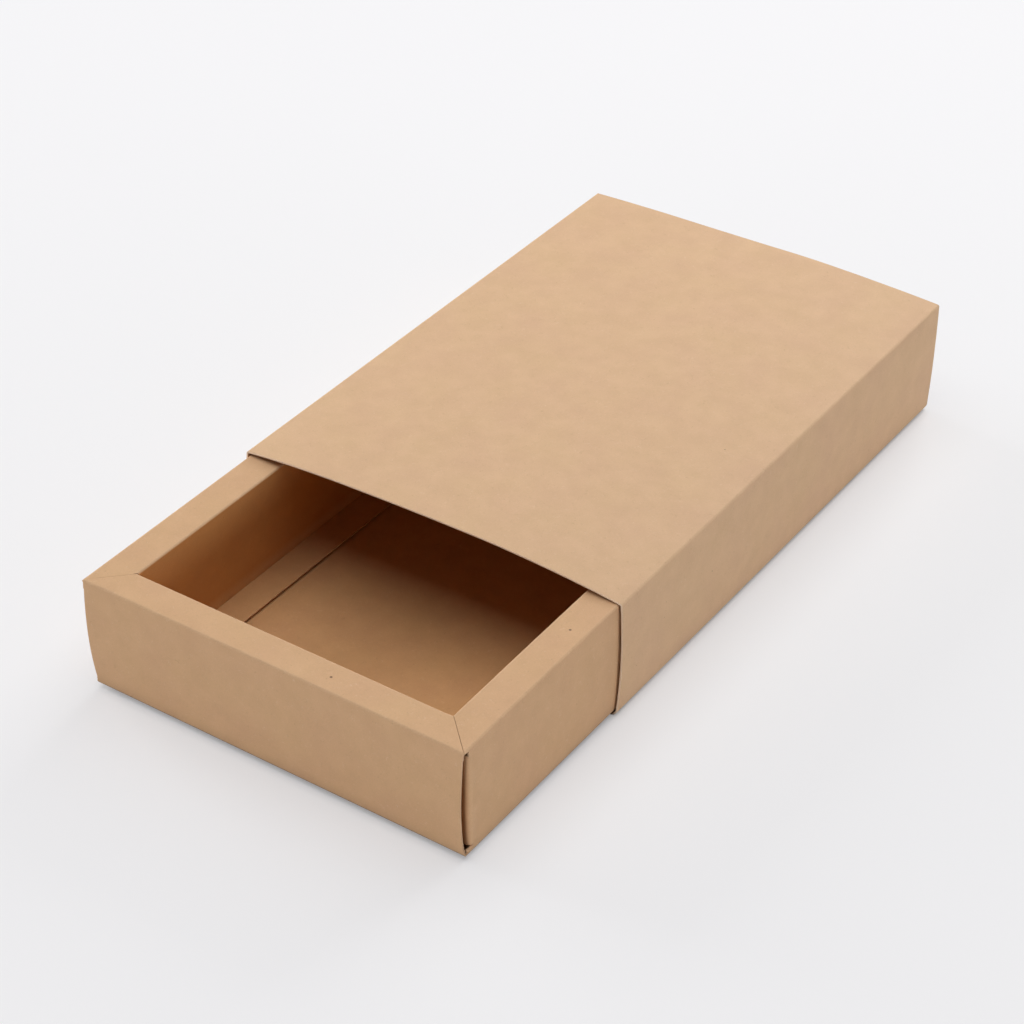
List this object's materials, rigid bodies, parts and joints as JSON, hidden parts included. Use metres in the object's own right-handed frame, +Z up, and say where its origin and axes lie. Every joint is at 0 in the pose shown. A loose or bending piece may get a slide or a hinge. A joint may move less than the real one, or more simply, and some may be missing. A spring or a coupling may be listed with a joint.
{
  "type": "sliding drawer gift box",
  "caption": "Kraft card drawer box: a folded sleeve, open at both ends, round a sliding hollow-walled card drawer with mitred rims and hinged floor flaps.",
  "frame": {"origin": "middle of the sleeve's underside, on the surface that the box stands on", "axes": "+Y runs along the sleeve's length, away from the open drawer; the drawer opens towards -Y; +Z is up; +X is the right side seen from the open drawer"},
  "size_m": [0.1236, 0.2493, 0.0405],
  "materials": {
    "kraft_board": "matt unbleached kraft, faintly mottled",
    "dried_glue": "thin dried adhesive film"
  },
  "bodies": {
    "sleeve": {"sleeve_top": "kraft_board", "sleeve_right_side": "kraft_board", "sleeve_bottom": "kraft_board", "sleeve_left_side": "kraft_board", "sleeve_seam_flap": "kraft_board", "sleeve_glue_line": "dried_glue"},
    "drawer": {"drawer_floor": "kraft_board", "drawer_front_outer_wall": "kraft_board", "drawer_front_rim": "kraft_board", "drawer_front_inner_wall": "kraft_board", "drawer_back_outer_wall": "kraft_board", "drawer_back_rim": "kraft_board", "drawer_back_inner_wall": "kraft_board", "drawer_left_outer_wall": "kraft_board", "drawer_left_rim": "kraft_board", "drawer_left_inner_wall": "kraft_board", "drawer_right_outer_wall": "kraft_board", "drawer_right_rim": "kraft_board", "drawer_right_inner_wall": "kraft_board", "drawer_front_left_corner_tab": "kraft_board", "drawer_front_right_corner_tab": "kraft_board", "drawer_back_left_corner_tab": "kraft_board", "drawer_back_right_corner_tab": "kraft_board"},
    "front_floor_flap": {"drawer_front_floor_flap": "kraft_board"},
    "back_floor_flap": {"drawer_back_floor_flap": "kraft_board"},
    "left_floor_flap": {"drawer_left_floor_flap": "kraft_board"},
    "right_floor_flap": {"drawer_right_floor_flap": "kraft_board"}
  },
  "joints": [
    {"name": "drawer_slide", "type": "slide", "parent": "sleeve", "child": "drawer", "axis": [0, -1, 0], "range_m": [-0.0698, 0.1097]},
    {"name": "front_flap_crease", "type": "hinge", "parent": "drawer", "child": "front_floor_flap", "pos_m": [0, -0.1513, 0.0025], "axis": [1, 0, 0], "range_deg": [0, 75]},
    {"name": "back_flap_crease", "type": "hinge", "parent": "drawer", "child": "back_floor_flap", "pos_m": [0, 0.0117, 0.0025], "axis": [-1, 0, 0], "range_deg": [0, 75]},
    {"name": "left_flap_crease", "type": "hinge", "parent": "drawer", "child": "left_floor_flap", "pos_m": [-0.0518, -0.0698, 0.0025], "axis": [0, -1, 0], "range_deg": [0, 75]},
    {"name": "right_flap_crease", "type": "hinge", "parent": "drawer", "child": "right_floor_flap", "pos_m": [0.0518, -0.0698, 0.0025], "axis": [0, 1, 0], "range_deg": [0, 75]}
  ]
}
